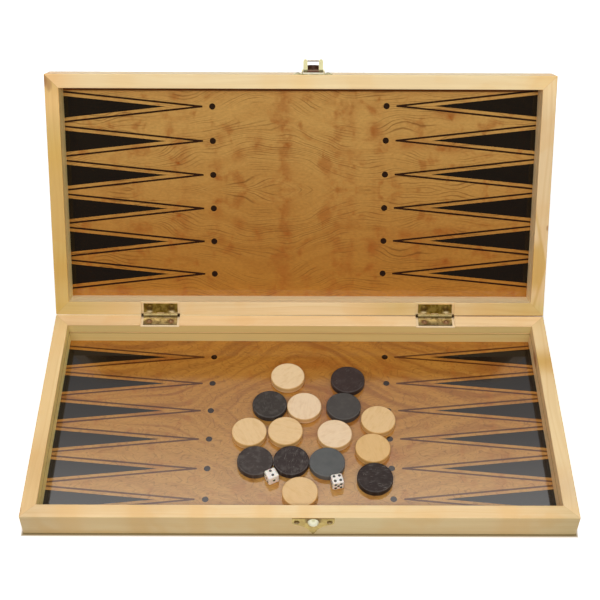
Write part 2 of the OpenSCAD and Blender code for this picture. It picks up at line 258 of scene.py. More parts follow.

# Tone of each rail, and how far its late wood and its warm clouds go. The tones are partly the boards'
# own colours and partly painted light, with the lid's front rail toned brightest
RAIL_TONES = {
    "lower_front_rail": (srgb(245, 212, 160), 0.55, 0.6),
    "lower_back_rail": (srgb(244, 206, 152), 0.5, 0.4),
    "lower_left_rail": (srgb(243, 209, 150), 0.55, 0.4),
    "lower_right_rail": (srgb(241, 211, 158), 0.55, 0.4),
    "lid_front_rail": (srgb(255, 227, 173), 0.45, 0.4),
    "lid_back_rail": (srgb(240, 208, 156), 0.5, 0.45),
    "lid_left_rail": (srgb(225, 187, 112), 0.45, 0.5),
    "lid_right_rail": (srgb(240, 207, 156), 0.6, 0.4),
}
# Tone of the inner walls where it differs from the rim's: painted light and shade, paler or greener than
# the rim to stand in for the walls' own light
WALL_LIT_TONES = {
    "lower_back_rail": srgb(229, 204, 136),
    "lower_left_rail": srgb(255, 240, 160),
    "lower_right_rail": srgb(243, 212, 160),
    "lid_back_rail": srgb(255, 236, 192),
    "lid_left_rail": srgb(255, 234, 164),
    "lid_right_rail": srgb(246, 220, 170),
}
# What late wood and warm clouds do to the red, green and blue of a tone
LATE_TINT = (0.86, 0.76, 0.6)
WARM_TINT = (0.95, 0.82, 0.62)
# Warm blotches as the place along the rail and the half width in millimetres
BLOTCHES = {
    "lower_front_rail": [(-165, 11), (-115, 9), (-72, 8), (-25, 8), (150, 9)],
    "lid_front_rail": [(-24, 9), (-140, 12)],
    "lid_back_rail": [(-150, 14), (150, 12)],
    "lid_left_rail": [(-20, 25), (60, 12)],
    "lid_right_rail": [(70, 22), (10, 8)],
}
# Knots as x, y, height, size in millimetres and strength, by rail
KNOTS = {
    "lid_left_rail": [(-200, -93, 21, 2.7, 0.8), (-196.5, -89.5, 22, 2.6, 0.55)],
    "lower_left_rail": [(-200, -93, 20, 2.4, 0.75)],
    "lower_right_rail": [(189, 58, 14, 4, 0.75)],
    "lid_right_rail": [(199, 23.7, 22, 1.1, 0.6)],
}
# Slow changes of tone along a rim as the place along the rail, the half width
# in millimetres and what they do to red, green and blue
DRIFTS = {
    "lower_front_rail": [(-200, 32, (0.85, 0.84, 0.83)), (200, 28, (0.84, 0.85, 0.8)),
                         (-110, 20, (0.94, 0.92, 0.88)), (30, 60, (1.0, 1.05, 1.08))],
    "lower_back_rail": [(-195, 60, (0.9, 0.88, 0.86)), (120, 70, (1.04, 1.1, 1.18))],
    "lower_left_rail": [(-55, 32, (0.86, 0.8, 0.73)), (-94, 12, (0.94, 0.9, 0.9)),
                        (97, 12, (0.86, 0.84, 0.8))],
    "lower_right_rail": [(49, 12, (0.74, 0.6, 0.3)), (-70, 18, (0.9, 0.89, 0.96)),
                         (97, 12, (0.9, 0.88, 0.8))],
    "lid_front_rail": [(-200, 25, (1.0, 0.85, 0.72)), (200, 25, (1.0, 0.89, 0.7)),
                       (0, 12, (1.0, 0.93, 0.8))],
    "lid_back_rail": [(-195, 45, (0.82, 0.78, 0.5)), (195, 60, (0.84, 0.8, 0.55)),
                      (80, 22, (0.88, 0.86, 0.68)), (0, 40, (1.05, 1.06, 1.1))],
    "lid_left_rail": [(-76, 16, (1.22, 1.17, 1.3)), (-35, 16, (1.02, 1.0, 0.8)),
                      (55, 22, (0.95, 0.91, 0.72)), (95, 10, (0.93, 0.92, 0.7))],
    "lid_right_rail": [(-97, 22, (1.2, 1.22, 1.18)), (93, 9, (0.86, 0.9, 0.68))],
}
# Patterns in the pine: the length of their features in millimetres, how
# detailed and how distorted they are. The rings are read by their depth in
# the log and the place along the rail, the others along, across and up.
PINE_PATTERNS = {
    "wander": ((130, 60, 60), 1.0, 0.0),
    "rings": ((1.1, 500, 1), 2.0, 0.0),
    "broad": ((3.4, 210, 1), 1.0, 0.0),
    "fibre": ((16, 0.45, 0.45), 3.0, 0.0),
    "cloud": ((30, 26, 30), 2.0, 0.3),
}
# How far apart along the plank the rails are cut, and how fast the depth in
# the log grows across a rail, up an even and an odd one, and as it wanders
RAIL_APART = 431.0
DEPTH_ACROSS = 0.6
DEPTH_UP = (-0.7, 0.8)
DEPTH_WANDER = 9
# Steps between the rails' random rings, narrow and broad
RINGS_SEED = 3.7
BROAD_SEED = 5.1
# How far a blotch's edge wanders in millimetres, and its strength
BLOTCH_WANDER = 8
BLOTCH_SHARE = 1.2
PINE_ROUGH = 0.4
PINE_RELIEF = 0.03
# Green-yellow figure on the lid's right rail: the growth rings come to a blunt
# point at x and y, and draw back from it by the slope
FIGURE_POINT = (199.0, 56.0)
FIGURE_SLOPE = 0.24
# The bluntness is a squared radius, and the two lengths after it how far the
# point is drawn back and how far it wanders
FIGURE_BLUNT = 30
FIGURE_BACK = 5
FIGURE_WANDER = 12
FIGURE_TINT = (0.84, 0.74, 0.42)
# Painted shade in the groove along the inner walls: its height, half width and strength in each tray
GROOVE_Z = 12.5
GROOVE_W = 0.8
GROOVE_LOWER = 1.0
GROOVE_LID = 0.25
GROOVE_SHADE_TINT = (0.47, 0.42, 0.27)
WALL_LATE_SHARE = 0.3
# How the tone changes on an outer face: darker and yellower on the lower tray's front, yellower on the
# lid's
OUTER_TINTS = {"lower_front_rail": (0.91, 0.92, 0.83), "lid_front_rail": (1.0, 0.98, 0.9)}
# Painted light and shade along the line where the two trays meet at the hinges: a wood tone over the
# seam's shade at the left, where it is shut tight, and a dark painted shadow of the open gap at the
# right
SEAM_SHUT = srgb(236, 206, 150)
SEAM_SHADOW = srgb(124, 74, 8)
SEAM_W = 0.75
SEAM_OPENS = (-110, 190)
SEAM_SHARE = 0.9
# Dark line of each mitre: where it fades out and where it is full, in millimetres from the mitre
MITRE_LINE = (0.5, 0.05)
MITRE_SHARE = 0.16
# Painted shade at the lower tray's foot: the heights between which it begins, going
# down the side, and those between which it ends at the underside
FOOT_TOP = (2.0, 0.6)
FOOT_UNDER = (0.02, 0.2)
FOOT_SHARE = 0.85
KNOT_LONG = 2.2
# Hinge mortises: how far they reach past the leaf, how deep they are, and how fresh they look
MORTISE_ROOM = 2.1
MORTISE_DEEP = 2.4
FRESH_LOWER = 0.8
FRESH_LID = 0.1


def tinted(colour, tint):
    """A colour with its red, green and blue scaled."""
    return tuple(value * share for value, share in zip(colour, tint)) + (1.0,)


def grain(s, along, across, z, seed):
    """How the grain of a rail wanders, and its late wood, fibres and warm clouds."""
    start = along + RAIL_APART * seed
    wander = s.noise((start, across, z), *PINE_PATTERNS["wander"])
    depth = across * DEPTH_ACROSS + z * DEPTH_UP[seed % 2] + wander * DEPTH_WANDER
    rings = s.noise((depth, start, RINGS_SEED * seed), *PINE_PATTERNS["rings"])
    broad = s.noise((depth, start, BROAD_SEED * seed), *PINE_PATTERNS["broad"])
    late = s.smooth(rings, 0.45, 0.7) * 0.5 + s.smooth(broad, 0.42, 0.6) * 0.5
    fibre = s.noise((start, across, z), *PINE_PATTERNS["fibre"])
    cloud = s.smooth(s.noise((start, across, z), *PINE_PATTERNS["cloud"]), 0.48, 0.7)
    return wander, late, fibre, cloud


def rim_colour(s, rail, along, wander, late, cloud):
    """Tone of a rail with its late wood, warm blotches and slow changes along it."""
    tone, late_share, warm_share = RAIL_TONES[rail]
    for centre, half in BLOTCHES.get(rail, []):
        moved = along + wander * BLOTCH_WANDER - BLOTCH_WANDER / 2
        cloud = s.larger(cloud, s.hump(moved, centre, half) * BLOTCH_SHARE)
    colour = s.mix(late * late_share, tone, tinted(tone, LATE_TINT))
    colour = s.mix(s.clamp(cloud) * warm_share, colour, tinted(tone, WARM_TINT))
    for centre, half, tint in DRIFTS[rail]:
        colour = s.mix(s.hump(along, centre, half), colour, s.tinted(colour, tint))
    return colour


def wall_colour(s, rail, lid, z, late):
    """Tone of a rail's inner wall, with painted light and shade that set it apart from the rim, and
    painted shade in the groove along it.
    """
    tone = WALL_LIT_TONES[rail]
    aged = s.mix(late * WALL_LATE_SHARE, tone, tinted(tone, LATE_TINT))
    # painted shade in the groove
    groove = s.hump(z, GROOVE_Z, GROOVE_W) * (GROOVE_LID if lid else GROOVE_LOWER)
    return s.mix(groove, aged, tinted(tone, GROOVE_SHADE_TINT))


def pine(rail, lid, along_x, seed):
    """Planed pine with its grain along the rail and mitred ends, with painted light and shade on the
    inner walls, along the line between the trays and at the lower tray's foot.
    """
    s = Surface("pine_" + rail)
    x, y, z = s.tray_place(lid)
    along, across = (x, y) if along_x else (y, x)
    wander, late, fibre, cloud = grain(s, along, across, z, seed)
    colour = rim_colour(s, rail, along, wander, late, cloud)
    if rail in WALL_LIT_TONES:
        # painted light and shade on the inner walls
        wall = inner_wall(s, across, z, along_x)
        colour = s.mix(wall, colour, wall_colour(s, rail, lid, z, late))
    if rail in OUTER_TINTS:
        outside = s.smooth(y, 0.5 - RIM_Y, 0.1 - RIM_Y)
        colour = s.mix(outside, colour, s.tinted(colour, OUTER_TINTS[rail]))
    if rail == "lid_right_rail":
        figure = pointed_figure(s, x, y, z, wander)
        colour = s.mix(figure, colour, s.tinted(colour, FIGURE_TINT))
    for knot_x, knot_y, knot_z, size, strength in KNOTS.get(rail, []):
        dx = (x - knot_x) / size
        dy = (y - knot_y) / (size * KNOT_LONG)
        dz = (z - knot_z) / size
        away = dx * dx + dy * dy + dz * dz + (fibre - 0.5)
        colour = s.mix(s.smooth(away, 1.6, 0.0) * strength, colour, PINE_KNOT)
    if rail.endswith("back_rail"):
        cut = fresh_cut(s, x, z) * (FRESH_LID if lid else FRESH_LOWER)
        colour = s.mix(cut, colour, PINE_FRESH)
    mitre = abs((RIM_X - abs(x)) - (RIM_Y - abs(y)))
    colour = s.mix(s.smooth(mitre, *MITRE_LINE) * MITRE_SHARE, colour, PINE_KNOT)
    if not lid:
        # painted shade along the lower tray's foot, where it meets the table
        foot = s.smooth(z, *FOOT_TOP) * s.smooth(z, *FOOT_UNDER)
        colour = s.mix(foot * FOOT_SHARE, colour, PINE_FOOT_SHADE)
    if rail.endswith("back_rail"):
        # painted shadow of the gap where the trays meet, turning to a wood tone at the left
        seam = s.mix(s.smooth(x, *SEAM_OPENS), SEAM_SHUT, SEAM_SHADOW)
        colour = s.mix(seam_line(s, y, z) * SEAM_SHARE, colour, seam)
    shade = 0.95 + fibre * 0.1
    relief = fibre * 0.6 + late * 0.4
    return s.finish(s.scaled(colour, shade), PINE_ROUGH + fibre * 0.12, height=relief, depth=PINE_RELIEF)


def inner_wall(s, across, z, along_x):
    """1 on a rail's inner wall, 0 on its rim."""
    face = (RIM_Y if along_x else RIM_X) - RAIL_T
    return s.smooth(abs(across), face + 0.5, face + 0.1) * s.smooth(z, RIM_Z - 0.6, RIM_Z - 1.1)


def seam_line(s, y, z):
    """1 at the edge where the two trays meet at the hinges."""
    out = (y - HINGE_AXIS.y / MM) / SEAM_W
    up = (z - HINGE_AXIS.z / MM) / SEAM_W
    return s.smooth(out * out + up * up, 1.0, 0.3)


def pointed_figure(s, x, y, z, wander):
    """Late wood that runs into a blunt point near a side rail's outer edge."""
    tip_x, tip_y = FIGURE_POINT
    off = y - tip_y + (wander - 0.5) * FIGURE_WANDER
    bent = s.math("SQRT", off * off + FIGURE_BLUNT) - FIGURE_BACK
    inward = tip_x - x - bent * FIGURE_SLOPE
    filled = s.smooth(inward, -1.2, 1.8) * s.smooth(bent, 20, 8)
    edge = s.hump(inward, 0.6, 1.2) * s.smooth(bent, 52, 34) * 0.7
    return s.clamp(filled + edge) * s.smooth(z, RIM_Z - 1.5, RIM_Z - 0.6)


def fresh_cut(s, x, z):
    """1 in the hinge mortises, which were cut after the rails had aged."""
    cut = 0
    for side in ("left", "right"):
        centre, half = span_x(side + "_hinge_lower_leaf")
        end = half + MORTISE_ROOM
        cut = cut + s.smooth(abs(x - centre), end, end - 0.1)
    below_rim = s.smooth(z, RIM_Z - 0.05, RIM_Z - 0.15)
    return cut * below_rim * s.smooth(z, RIM_Z - MORTISE_DEEP, RIM_Z - MORTISE_DEEP + 0.2)


def paint_rails():
    sides = [(tray, side) for tray in ("lower", "lid") for side in ("front", "back", "left", "right")]
    for seed, (tray, side) in enumerate(sides, start=1):
        rail = f"{tray}_{side}_rail"
        paint(pine(rail, tray == "lid", side in ("front", "back"), seed), rail)


# Panels

LACQUER_ROUGH = 0.08
LACQUER_IOR = 1.4
VENEER_RED = srgb(158, 84, 28)
VENEER_LINE = srgb(98, 58, 22)
# Painted shadow on the lid's veneer along its front rail, and painted light beside it:
# places in millimetres from the wall
RAIL_SHADOW = srgb(112, 50, 8)
RAIL_SHADOW_W = (3.9, 3.3)
RAIL_SHADOW_SHARE = 0.85
RAIL_LIGHT_AT = 4.5
RAIL_LIGHT_W = 1.4
RAIL_LIGHT_GAIN = 0.45
# The veneer's outer face is below these heights and its inner face above them
FACES_Z = (1.2, 1.6)
# Length of the wood's fibres that show through the print
INK_FIBRE = (9, 0.4, 1)
# Colour of each ink and how much of the wood it hides
POINT_INK = {"lid": (srgb(15, 12, 9), 0.985), "lower": (srgb(22, 18, 14), 0.985)}
LINE_INK = {"lid": (srgb(34, 8, 3), 0.97), "lower": (srgb(66, 26, 11), 0.87)}
DOT_INK = srgb(24, 8, 5), 0.97
SQUARE_INK = srgb(78, 44, 24), 0.86

# Figure of each veneer: its pale wood at the front and at the hinges, its
# brown wood, the line it is mirrored about, the arch of its growth rings as
# centre, half width and height, the ring spacing, how strong the thin lines,
# the wide streaks, the reddish clouds and the burr lines are, how far the
# lines tremble, cross bands as x, half width and strength, and reddish spots
# as x, distance from the mirror line and half sizes, all in millimetres
FIGURES = {
    # On the lid, the paler wood at the front is partly the veneer's own tone and partly a painted sheen
    "lid": {"front": srgb(203, 157, 86), "hinges": srgb(174, 115, 43), "brown": srgb(162, 103, 38),
            "mirror": -3.3, "arch": (-30, 44, 24), "spacing": 2.1, "lines": 0.55, "streaks": 0.4,
            "clouds": 0.5, "burr": 0.1, "quick": 1.3, "seed": 2.0,
            "bands": [(-12, 6, 0.5), (31, 6, 0.4), (42, 4, 0.3), (63, 6, 0.2), (-95, 8, 0.2),
                      (-150, 9, 0.2)],
            "spots": [(-67, 38, 6, 5), (-131, 30, 6, 6), (-96, 30, 4, 9), (-35, 34, 5, 6),
                      (-50, 26, 5, 6), (-68, 13, 4, 9), (90, 34, 16, 5), (125, 33, 12, 6),
                      (118, 60, 14, 4), (60, 45, 6, 8)]},
    "lower": {"front": srgb(189, 142, 77), "hinges": srgb(180, 121, 47), "brown": srgb(138, 80, 34),
              "mirror": 14.0, "arch": (4, 62, 62), "spacing": 4.2, "lines": 0.06, "streaks": 0.65,
              "clouds": 0.3, "burr": 0.6, "quick": 1.5, "seed": 9.0, "bands": [(150, 12, 0.2)],
              "spots": [(10, 45, 30, 7), (70, 40, 14, 8), (30, 5, 20, 10)]},
}
# Patterns in the veneer: the length of their features in millimetres the first
# and the second way, their own seed, and how detailed and distorted they are
VENEER_PATTERNS = {
    "slow": (58, 40, 0, 1.0, 0.0),
    "quick": (9, 8, 1, 1.0, 0.0),
    "gaps": (1, 34, 2, 1.0, 0.0),
    "patch": (44, 24, 3, 1.0, 0.0),
    "streak": (7, 85, 4, 2.0, 0.3),
    "cloud": (13, 15, 5, 3.0, 0.4),
    "uneven": (9, 9, 6, 3.0, 0.0),
    "burr": (22, 13, 7, 2.0, 0.6),
    "spacing": (9, 60, 8, 2.0, 0.0),
    "mottle": (3.4, 1.5, 0, 3.0, 0.0),
}
# How far the slow pattern bends the growth rings, and how uneven wood bends the
# cross bands and moves the spots, in millimetres
SLOW_BEND = 30
BAND_BEND = 16
SPOT_BEND = 6
# How many rings the spacing gains or loses, how often a line breaks off from
# ring to ring, and how many burr lines there are between dark and pale
SPACING_CHANGE = 2.5
GAPS_PER_RING = 0.7
BURR_LINES = 13
SPOT_SHARE = 0.9


def pattern(s, name, first, second, seed):
    """Noise of one of the veneer's patterns."""
    first_size, second_size, own_seed, detail, distortion = VENEER_PATTERNS[name]
    place = (first, second, seed + own_seed)
    return s.noise(place, (first_size, second_size, 1), detail, distortion)


def growth_rings(s, x, off, figure):
    """Depth in the log, in millimetres: level lines that arch along the tray."""
    seed = figure["seed"]
    arch_x, arch_w, arch_h = figure["arch"]
    slow = pattern(s, "slow", x, off, seed) - 0.5
    quick = pattern(s, "quick", x, off, seed) - 0.5
    return off - s.hump(x, arch_x, arch_w) * arch_h + slow * SLOW_BEND + quick * figure["quick"]


def ring_lines(s, x, off, rings, figure):
    """1 on the thin lines between growth rings, which break off here and there."""
    seed = figure["seed"]
    turns = rings / figure["spacing"] + pattern(s, "spacing", rings, x, seed) * SPACING_CHANGE
    line = s.smooth(s.math("PINGPONG", turns, 0.5), 0.22, 0.04)
    broken = s.smooth(pattern(s, "gaps", turns * GAPS_PER_RING, x, seed), 0.38, 0.6)
    return line * broken * s.smooth(pattern(s, "patch", x, off, seed), 0.36, 0.58)


def reddish(s, x, off, uneven, figure):
    """How red the veneer is by its clouds, its cross bands and its spots."""
    cloud = s.smooth(pattern(s, "cloud", x, off, figure["seed"]), 0.52, 0.72)
    bent = x + (uneven - 0.5) * BAND_BEND
    bands = 0
    for band_x, band_w, strength in figure["bands"]:
        bands = bands + s.hump(bent, band_x, band_w) * strength
    bands = bands * s.smooth(uneven, 0.36, 0.6)
    spots = 0
    for spot_x, spot_off, half_w, half_h in figure["spots"]:
        aside = off + (cloud - 0.5) * SPOT_BEND
        spots = s.larger(spots, s.hump(bent, spot_x, half_w) * s.hump(aside, spot_off, half_h))
    return s.clamp(cloud * figure["clouds"] + bands + spots * uneven * SPOT_SHARE)


def veneer_colour(s, x, y, figure):
    """Figured veneer, mirrored about a line along the tray."""
    seed = figure["seed"]
    off = abs(y - figure["mirror"])
    rings = growth_rings(s, x, off, figure)
    streak = s.smooth(pattern(s, "streak", rings, x, seed), 0.4, 0.68)
    streak = streak * (s.smooth(y, -60, 60) * 0.6 + 0.4)
    uneven = pattern(s, "uneven", x, off, seed)
    burr = s.math("PINGPONG", pattern(s, "burr", x, off, seed) * BURR_LINES, 0.5)
    pale = s.mix(s.smooth(y, -95, 95), figure["front"], figure["hinges"])
    colour = s.mix(streak * figure["streaks"], pale, figure["brown"])
    colour = s.mix(reddish(s, x, off, uneven, figure), colour, VENEER_RED)
    colour = s.mix(ring_lines(s, x, off, rings, figure) * figure["lines"], colour, VENEER_LINE)
    colour = s.mix(s.smooth(burr, 0.13, 0.02) * uneven * figure["burr"], colour, VENEER_LINE)
    mottle = pattern(s, "mottle", x, y, seed)
    return s.scaled(colour, 0.78 + mottle * 0.44)


def painted_rail_shadow(s, colour, y, z):
    """The lid's veneer, with a painted shadow along the inside of its front rail and painted light
    beside that line.
    """
    from_wall = y + RIM_Y - RAIL_T
    inside = s.smooth(z, *FACES_Z)
    pale = s.hump(from_wall, RAIL_LIGHT_AT, RAIL_LIGHT_W) * inside * RAIL_LIGHT_GAIN
    colour = s.scaled(colour, 1 + pale)
    return s.mix(s.smooth(from_wall, *RAIL_SHADOW_W) * inside * RAIL_SHADOW_SHARE, colour, RAIL_SHADOW)


def veneer(name, lid):
    s = Surface("veneer_" + name)
    x, y, z = s.tray_place(lid)
    wood = veneer_colour(s, x, y, FIGURES[name])
    if lid:
        # painted shadow along the front rail and painted light beside it
        wood = painted_rail_shadow(s, wood, y, z)
    return s.finish(wood, LACQUER_ROUGH, ior=LACQUER_IOR)


def print_on(name, lid, colour, cover):
    """Print on the veneer, under the same lacquer; cover is how much of the wood it hides."""
    s = Surface(name)
    x, y, _ = s.tray_place(lid)
    wood = veneer_colour(s, x, y, FIGURES["lid" if lid else "lower"])
    fibre = s.noise((x, y, 0.0), INK_FIBRE, detail=3.0)
    ink = s.scaled(colour, 0.8 + fibre * 0.4)
    return s.finish(s.mix(cover, wood, ink), LACQUER_ROUGH, ior=LACQUER_IOR)


def paint_panels():
    for tray, lid in (("lower", False), ("lid", True)):
        paint(veneer(tray, lid), tray + "_panel")
        layers = [("point_ink", "points", POINT_INK[tray]),
                  ("line_ink", "point_outlines", LINE_INK[tray]),
                  ("dot_ink", "point_dots", DOT_INK),
                  ("square_ink", "squares", SQUARE_INK)]
        for ink_name, layer, ink in layers:
            paint(print_on(f"{ink_name}_{tray}", lid, *ink), f"{tray}_{layer}")


# Metal

# Bright and tarnished tone of each sheet
PLATE_TONES = srgb(166, 146, 86), srgb(138, 116, 60)
LATCH_TONES = srgb(214, 202, 158), srgb(140, 130, 92)
LID_LEAF_TONES = srgb(198, 164, 76), srgb(118, 82, 12)
LEAF_TONES = srgb(172, 150, 98), srgb(96, 74, 38)
HASP_PALE = srgb(240, 232, 176)
# painted shade inside the hasp's hood
HASP_HOLLOW_SHADE = srgb(74, 42, 20)
# painted highlight on the catch's nose
NOSE_HIGHLIGHT = srgb(255, 250, 216)
NOSE_MARK = srgb(160, 150, 70)
EDGE_DARK = srgb(84, 62, 26)
SCREW_BROWN = srgb(104, 68, 34)
SCREW_OLIVE = srgb(104, 78, 28)
LATCH_SCREW = srgb(150, 144, 106)
SCREW_PALE = srgb(230, 206, 156)
PIN_BROWN = srgb(66, 48, 26), srgb(40, 28, 14)
BAR_STEEL = srgb(168, 156, 136), srgb(118, 108, 92)
HASP_FOOT = srgb(122, 112, 72)
# red-brown on the inner side of the hasp's foot
HASP_FOOT_INNER = srgb(104, 64, 40)
# Patterns in metal: the length of their features in millimetres, how detailed
# and how distorted they are
METAL_PATTERNS = {
    "cloud": ((4, 4, 4), 4.0, 0.4),
    "scratch": ((0.25, 4, 4), 2.0, 0.0),
}
CLOUD_ROUGH = 0.16
FINE_RELIEF = 0.01
LEAF_RELIEF = 0.02
LEAF_TARNISH = 0.42
# Painted light and shade on the lower leaves: lit brightest at the barrel, painted shade forwards, and
# darker towards the right
LEAF_LIT_GAIN = 1.45
SHADE_FORWARD = 0.85
DARKER_RIGHT = 0.16
BARREL_R = 1.6
BARREL_BRASS = srgb(150, 134, 94)
# Painted glints on the lid's leaves between the screws and the barrel, as places from the screw
GLINT_PLACE = (0.2, 3.3)
# Places of the screws: sideways from the hinge's middle and forwards from its axis, and
# sideways from the clasp's middle and down from the rim
HINGE_SCREW_X = 8.9
HINGE_SCREW_Y = 6.0
CLASP_SCREW_X = 11.8
CLASP_SCREW_Z = 5.0
# Radius of the stain around a screw, and the bright crown of a screw: the
# radii at which it ends and at which it is full
STAIN_R = 2.4
CROWN = (1.1, 0.5)
CLASP_CROWN = (1.2, 0.5)
# The catch's nose and plate, measured from the clasp's middle and down from the rim
CLASP_X, _ = span_x("catch_plate")
PLATE_TIP = 20.4
NOSE_REACH = 4.3
NOSE_BELOW = 6.0
# The hasp: half width of its hood, how far it is swung open, and its hollow's axis and radius
HASP_WINDOW = 4.4
HASP_OPEN = math.radians(90)
HOOD_R = 5.0
HOOD_AXIS = 3.1


def tarnished(s, place, tones, tarnish):
    """Colour of stamped sheet or wire, and its cloudiness and scratches."""
    cloud = s.noise(place, *METAL_PATTERNS["cloud"])
    scratch = s.noise(place, *METAL_PATTERNS["scratch"])
    share = s.smooth(cloud, 0.36, 0.64) * 0.8 + (tarnish - 0.4) + (scratch - 0.5) * 0.3
    return s.mix(s.clamp(share), *tones), cloud, scratch


def metal(name, tones, tarnish, roughness):
    """Stamped sheet or wire with cloudy tarnish and fine scratches."""
    s = Surface(name)
    colour, cloud, scratch = tarnished(s, s.place(), tones, tarnish)
    return s.finish(colour, roughness + cloud * CLOUD_ROUGH, metallic=1.0, height=scratch,
                    depth=FINE_RELIEF)


def to_hinge_screw(x, y):
    """Place of a hinge screw's nearest axis, as sideways and backward offsets in millimetres."""
    left, right = (span_x(side + "_hinge_lower_leaf")[0] for side in ("left", "right"))
    dx = abs(abs(x - (left + right) / 2) - (right - left) / 2) - HINGE_SCREW_X
    return dx, y - (HINGE_AXIS.y / MM - HINGE_SCREW_Y)


def hinge_metal(name, tones, lid):
    """Aged brass of a hinge leaf, with stain rings where its screws sit, painted glints on the lid's
    leaves and painted light and shade on the lower ones.
    """
    s = Surface(name)
    x, y, z = s.tray_place(lid)
    colour, cloud, scratch = tarnished(s, (x, y, z), tones, LEAF_TARNISH)
    dx, dy = to_hinge_screw(x, y)
    colour = s.mix(s.hump(s.length(dx, dy), STAIN_R, 0.7) * 0.5, colour, SCREW_BROWN)
    out = y - HINGE_AXIS.y / MM
    up = z - HINGE_AXIS.z / MM
    if lid:
        # painted glints; the leaf is not metal there, so that their pale colour shows
        rubbed = s.hump(dx, GLINT_PLACE[0], 2.0) * s.hump(dy, GLINT_PLACE[1], 0.8)
        bright = s.clamp(rubbed * s.smooth(cloud, 0.25, 0.5) * 1.5)
        colour = s.mix(bright, colour, SCREW_PALE)
    else:
        bright = 0
        # painted light and shade on the lower leaves
        leaf_darkening = s.smooth(out, -2.2, -8.8) * SHADE_FORWARD + s.smooth(x, -10, 10) * DARKER_RIGHT
        colour = s.scaled(colour, LEAF_LIT_GAIN - leaf_darkening)
    barrel = s.smooth(s.length(out, up), BARREL_R + 0.5, BARREL_R + 0.1)
    colour = s.mix(barrel * 0.8, colour, BARREL_BRASS)
    roughness = 0.3 + cloud * CLOUD_ROUGH + barrel * 0.25
    return s.finish(colour, roughness, metallic=1 - bright * 0.8, height=scratch, depth=LEAF_RELIEF)


def screw_metal(name, lid):
    """Browned hinge screws, brighter at the crown, with a painted highlight on the side towards the
    barrel.
    """
    s = Surface(name)
    x, y, _ = s.tray_place(lid)
    dx, dy = to_hinge_screw(x, y)
    crown = s.smooth(s.length(dx, dy), *CROWN) * (0.0 if lid else 0.2)
    # painted highlight on the side of the head towards the barrel
    worn = s.hump(dy, 1.7, 0.6) * s.hump(dx, 0.2, 1.2) * (0.2 if lid else 0.1)
    colour = s.mix(s.clamp(crown + worn), SCREW_OLIVE if lid else SCREW_BROWN, SCREW_PALE)
    return s.finish(colour, 0.5, metallic=0.85 if lid else 0.6)


def clasp_screw_metal(name, lid, tone):
    """Tarnished clasp screws with a bright crown."""
    s = Surface(name)
    x, _, z = s.tray_place(lid)
    dx = abs(x - CLASP_X) - CLASP_SCREW_X
    dz = z - (RIM_Z - CLASP_SCREW_Z)
    colour = s.mix(s.smooth(s.length(dx, dz), *CLASP_CROWN) * 0.4, tone, SCREW_PALE)
    return s.finish(colour, 0.4, metallic=0.6)


def catch_metal():
    """Dull brass plate with painted shade along its upper edge and beside its nose, darker towards its
    tip, and a nose painted pale as a painted highlight.
    """
    s = Surface("catch_brass")
    x, y, z = s.place()
    colour, cloud, scratch = tarnished(s, (x, y, z), PLATE_TONES, 0.4)
    # painted shade along the plate's upper edge, and darker towards its tip
    edge = s.smooth(z, RIM_Z - 0.9, RIM_Z - 0.5)
    tip = s.smooth(z, RIM_Z - PLATE_TIP + 4, RIM_Z - PLATE_TIP) * 0.6
    colour = s.mix(s.larger(edge * 0.9, tip), colour, EDGE_DARK)
    beside = abs(x - CLASP_X)
    above = s.smooth(z, RIM_Z - NOSE_BELOW, RIM_Z - NOSE_BELOW + 0.3)
    pressed = s.smooth(beside, NOSE_REACH + 0.3, NOSE_REACH) * above
    nose = pressed * s.smooth(y, -RIM_Y - 0.62, -RIM_Y - 0.9)
    # painted shade beside the nose and on its sides
    shaded = s.smooth(beside, NOSE_REACH + 2.4, NOSE_REACH + 0.4) * above * 0.7
    colour = s.mix(s.larger(shaded, pressed * 0.8) * (1 - nose), colour, EDGE_DARK)
    mark = s.hump(x, CLASP_X, 1.5) * s.hump(z, RIM_Z - 1.0, 0.6) * 0.7
    # the nose's front painted pale as a painted highlight, with an olive mark near its top
    colour = s.mix(nose, colour, s.mix(mark, NOSE_HIGHLIGHT, NOSE_MARK))
    return s.finish(colour, 0.32 + cloud * 0.1, metallic=0.9 * (1 - nose), height=scratch,
                    depth=FINE_RELIEF)


def hasp_metal():
    """Pale prongs either side of a hood with painted shade inside it, read as if the box were closed."""
    s = Surface("hasp_brass")
    x, y, z = s.turned_place(HASP_PIVOT, LID_OPEN + HASP_OPEN)
    x = x * PER_METRE - CLASP_X
    inward = (y - HASP_PIVOT.y) * PER_METRE
    up = (z - HASP_PIVOT.z) * PER_METRE
    cloud = s.noise((x, inward, up), *METAL_PATTERNS["cloud"])
    scratch = s.noise((x, inward, up), *METAL_PATTERNS["scratch"])
    middle = s.smooth(abs(x), HASP_WINDOW + 0.3, HASP_WINDOW - 0.2)
    from_axis = s.length(x, inward - HOOD_AXIS)
    # painted shade inside the hood's hollow
    hollow = s.smooth(from_axis, HOOD_R - 0.1, HOOD_R - 0.4) * s.smooth(up, -0.6, -0.9)
    colour = s.mix(middle * hollow, HASP_PALE, HASP_HOLLOW_SHADE)
    foot = s.smooth(s.length(inward, up), 1.8, 1.3)
    # red-brown on the inner side of the foot's middle
    foot_inner = middle * s.smooth(inward, -0.4, 0.2)
    colour = s.mix(foot, colour, s.mix(foot_inner, HASP_FOOT, HASP_FOOT_INNER))
    colour = s.scaled(colour, 0.85 + cloud * 0.3)
    return s.finish(colour, 0.34, metallic=0.25, height=scratch, depth=FINE_RELIEF)


